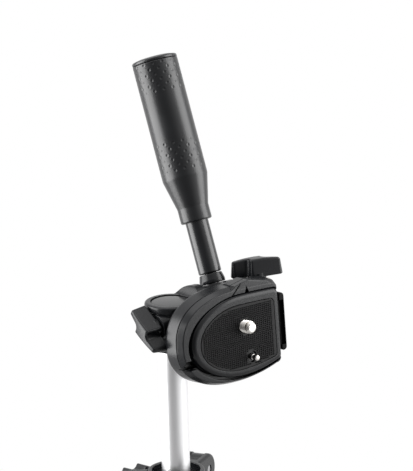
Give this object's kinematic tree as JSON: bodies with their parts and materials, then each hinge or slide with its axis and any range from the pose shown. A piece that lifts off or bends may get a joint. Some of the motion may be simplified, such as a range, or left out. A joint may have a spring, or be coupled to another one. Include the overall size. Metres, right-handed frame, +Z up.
{
  "type": "mini tripod",
  "caption": "Tabletop tripod: three telescoping legs on a spider, a sliding centre column and a pan, tilt and flip head with a quick release plate and a handle.",
  "frame": {"origin": "centre of the bounding box on the floor plane", "axes": "+Z up along the centre column, -Y the way the lens would look with the platform level, +X towards the platform hinge"},
  "size_m": [0.2052, 0.1798, 0.3995],
  "materials": {
    "black_plastic": "satin moulded ABS",
    "grip_plastic": "soft matt",
    "rubber": "matt",
    "satin_aluminium": "satin anodised",
    "nickel": "bright nickel plate",
    "steel": "machined"
  },
  "bodies": {
    "spider": {"spider": "black_plastic", "column_collar": "black_plastic", "leg_1_pivot_pin": "steel", "leg_2_pivot_pin": "steel", "leg_3_pivot_pin": "steel"},
    "column_knob": {"column_lock_knob": "black_plastic"},
    "column": {"centre_column": "satin_aluminium", "column_spigot": "black_plastic", "column_foot": "black_plastic", "pan_pivot_screw": "steel", "pan_washer": "steel"},
    "pan": {"pan_housing": "black_plastic", "pan_cap": "black_plastic", "tilt_shaft": "steel", "tilt_washer": "steel"},
    "pan_knob": {"pan_lock_knob": "black_plastic"},
    "tilt": {"tilt_body": "black_plastic"},
    "handle": {"handle_ferrule": "black_plastic", "handle_rod": "black_plastic", "handle_grip": "grip_plastic", "handle_end_cap": "grip_plastic"},
    "platform": {"platform_base": "black_plastic", "platform_cover": "black_plastic", "flip_bolt": "steel", "flip_washer": "nickel", "qr_lever_pin": "steel", "qr_lever_spring": "steel"},
    "flip_knob": {"flip_lock_knob": "black_plastic"},
    "release_lever": {"qr_lever": "black_plastic"},
    "plate": {"qr_plate": "black_plastic", "qr_pad": "rubber"},
    "screw": {"camera_screw": "nickel"},
    "pin": {"video_pin": "nickel"},
    "leg_1": {"leg_1_head": "black_plastic", "leg_1_upper_tube": "satin_aluminium", "leg_1_upper_clamp": "black_plastic"},
    "leg_1_middle": {"leg_1_middle_tube": "satin_aluminium", "leg_1_lower_clamp": "black_plastic"},
    "leg_1_lower": {"leg_1_lower_tube": "satin_aluminium", "leg_1_foot": "rubber"},
    "leg_1_upper_flip": {"leg_1_upper_lever": "black_plastic"},
    "leg_1_lower_flip": {"leg_1_lower_lever": "black_plastic"},
    "leg_2": {"leg_2_head": "black_plastic", "leg_2_upper_tube": "satin_aluminium", "leg_2_upper_clamp": "black_plastic"},
    "leg_2_middle": {"leg_2_middle_tube": "satin_aluminium", "leg_2_lower_clamp": "black_plastic"},
    "leg_2_lower": {"leg_2_lower_tube": "satin_aluminium", "leg_2_foot": "rubber"},
    "leg_2_upper_flip": {"leg_2_upper_lever": "black_plastic"},
    "leg_2_lower_flip": {"leg_2_lower_lever": "black_plastic"},
    "leg_3": {"leg_3_head": "black_plastic", "leg_3_upper_tube": "satin_aluminium", "leg_3_upper_clamp": "black_plastic"},
    "leg_3_middle": {"leg_3_middle_tube": "satin_aluminium", "leg_3_lower_clamp": "black_plastic"},
    "leg_3_lower": {"leg_3_lower_tube": "satin_aluminium", "leg_3_foot": "rubber"},
    "leg_3_upper_flip": {"leg_3_upper_lever": "black_plastic"},
    "leg_3_lower_flip": {"leg_3_lower_lever": "black_plastic"}
  },
  "joints": [
    {"name": "column_lock", "type": "hinge", "parent": "spider", "child": "column_knob", "pos_m": [0, 0.04684, 0.19039], "axis": [0, 1, 0], "continuous": true},
    {"name": "column_slide", "type": "slide", "parent": "spider", "child": "column", "axis": [0, 0, 1], "range_m": [-0.04, 0.078]},
    {"name": "pan", "type": "hinge", "parent": "column", "child": "pan", "pos_m": [0, 0.02744, 0.28719], "axis": [0, 0, 1], "continuous": true},
    {"name": "pan_lock", "type": "hinge", "parent": "pan", "child": "pan_knob", "pos_m": [-0.0129, 0.02204, 0.27719], "axis": [1, 0, 0], "range_deg": [0, 80]},
    {"name": "tilt", "type": "hinge", "parent": "pan", "child": "tilt", "pos_m": [0, 0.02744, 0.28119], "axis": [1, 0, 0], "range_deg": [-101, 1]},
    {"name": "handle_twist", "type": "hinge", "parent": "tilt", "child": "handle", "pos_m": [0.0286, 0.02744, 0.28119], "axis": [0, 0.3746, 0.9272], "continuous": true},
    {"name": "flip", "type": "hinge", "parent": "tilt", "child": "platform", "pos_m": [0.0481, 0.01996, 0.28172], "axis": [0, 0.0698, 0.9976], "range_deg": [0, 90]},
    {"name": "flip_lock", "type": "hinge", "parent": "platform", "child": "flip_knob", "pos_m": [0.0481, 0.02053, 0.2899], "axis": [0, 0.0698, 0.9976], "range_deg": [-25, 12]},
    {"name": "release", "type": "hinge", "parent": "platform", "child": "release_lever", "pos_m": [0.0485, 0.02758, 0.28319], "axis": [0, -0.9976, 0.0698], "range_deg": [0, 38], "stiffness_Nm_per_rad": 0.012},
    {"name": "plate_lift", "type": "slide", "parent": "platform", "child": "plate", "axis": [0, -0.9976, 0.0698], "range_m": [0, 0.015]},
    {"name": "camera_screw_turn", "type": "hinge", "parent": "plate", "child": "screw", "pos_m": [0.0232, 0.02693, 0.27381], "axis": [0, -0.9976, 0.0698], "continuous": true},
    {"name": "video_pin_press", "type": "slide", "parent": "plate", "child": "pin", "axis": [0, 0.9976, -0.0698], "range_m": [0, 0.0032], "stiffness_N_per_m": 250},
    {"name": "leg_1_fold", "type": "hinge", "parent": "spider", "child": "leg_1", "pos_m": [0, 0.00044, 0.19139], "axis": [1, 0, 0], "range_deg": [0, 24]},
    {"name": "leg_1_middle_slide", "type": "slide", "parent": "leg_1", "child": "leg_1_middle", "axis": [0, -0.4067, -0.9135], "range_m": [0, 0.095]},
    {"name": "leg_1_lower_slide", "type": "slide", "parent": "leg_1_middle", "child": "leg_1_lower", "axis": [0, -0.4067, -0.9135], "range_m": [0, 0.095]},
    {"name": "leg_1_upper_lever_flip", "type": "hinge", "parent": "leg_1", "child": "leg_1_upper_flip", "pos_m": [0, -0.06957, 0.06636], "axis": [-1, 0, 0], "range_deg": [0, 100]},
    {"name": "leg_1_lower_lever_flip", "type": "hinge", "parent": "leg_1_middle", "child": "leg_1_lower_flip", "pos_m": [0, -0.07868, 0.04195], "axis": [-1, 0, 0], "range_deg": [0, 100]},
    {"name": "leg_2_fold", "type": "hinge", "parent": "spider", "child": "leg_2", "pos_m": [0.02338, 0.04094, 0.19139], "axis": [-0.5, 0.866, 0], "range_deg": [0, 24]},
    {"name": "leg_2_middle_slide", "type": "slide", "parent": "leg_2", "child": "leg_2_middle", "axis": [0.3522, 0.2034, -0.9135], "range_m": [0, 0.095]},
    {"name": "leg_2_lower_slide", "type": "slide", "parent": "leg_2_middle", "child": "leg_2_lower", "axis": [0.3522, 0.2034, -0.9135], "range_m": [0, 0.095]},
    {"name": "leg_2_upper_lever_flip", "type": "hinge", "parent": "leg_2", "child": "leg_2_upper_flip", "pos_m": [0.08401, 0.07594, 0.06636], "axis": [0.5, -0.866, 0], "range_deg": [0, 100]},
    {"name": "leg_2_lower_lever_flip", "type": "hinge", "parent": "leg_2_middle", "child": "leg_2_lower_flip", "pos_m": [0.09191, 0.0805, 0.04195], "axis": [0.5, -0.866, 0], "range_deg": [0, 100]},
    {"name": "leg_3_fold", "type": "hinge", "parent": "spider", "child": "leg_3", "pos_m": [-0.02338, 0.04094, 0.19139], "axis": [-0.5, -0.866, 0], "range_deg": [0, 24]},
    {"name": "leg_3_middle_slide", "type": "slide", "parent": "leg_3", "child": "leg_3_middle", "axis": [-0.3522, 0.2034, -0.9135], "range_m": [0, 0.095]},
    {"name": "leg_3_lower_slide", "type": "slide", "parent": "leg_3_middle", "child": "leg_3_lower", "axis": [-0.3522, 0.2034, -0.9135], "range_m": [0, 0.095]},
    {"name": "leg_3_upper_lever_flip", "type": "hinge", "parent": "leg_3", "child": "leg_3_upper_flip", "pos_m": [-0.08401, 0.07594, 0.06636], "axis": [0.5, 0.866, 0], "range_deg": [0, 100]},
    {"name": "leg_3_lower_lever_flip", "type": "hinge", "parent": "leg_3_middle", "child": "leg_3_lower_flip", "pos_m": [-0.09191, 0.0805, 0.04195], "axis": [0.5, 0.866, 0], "range_deg": [0, 100]}
  ]
}
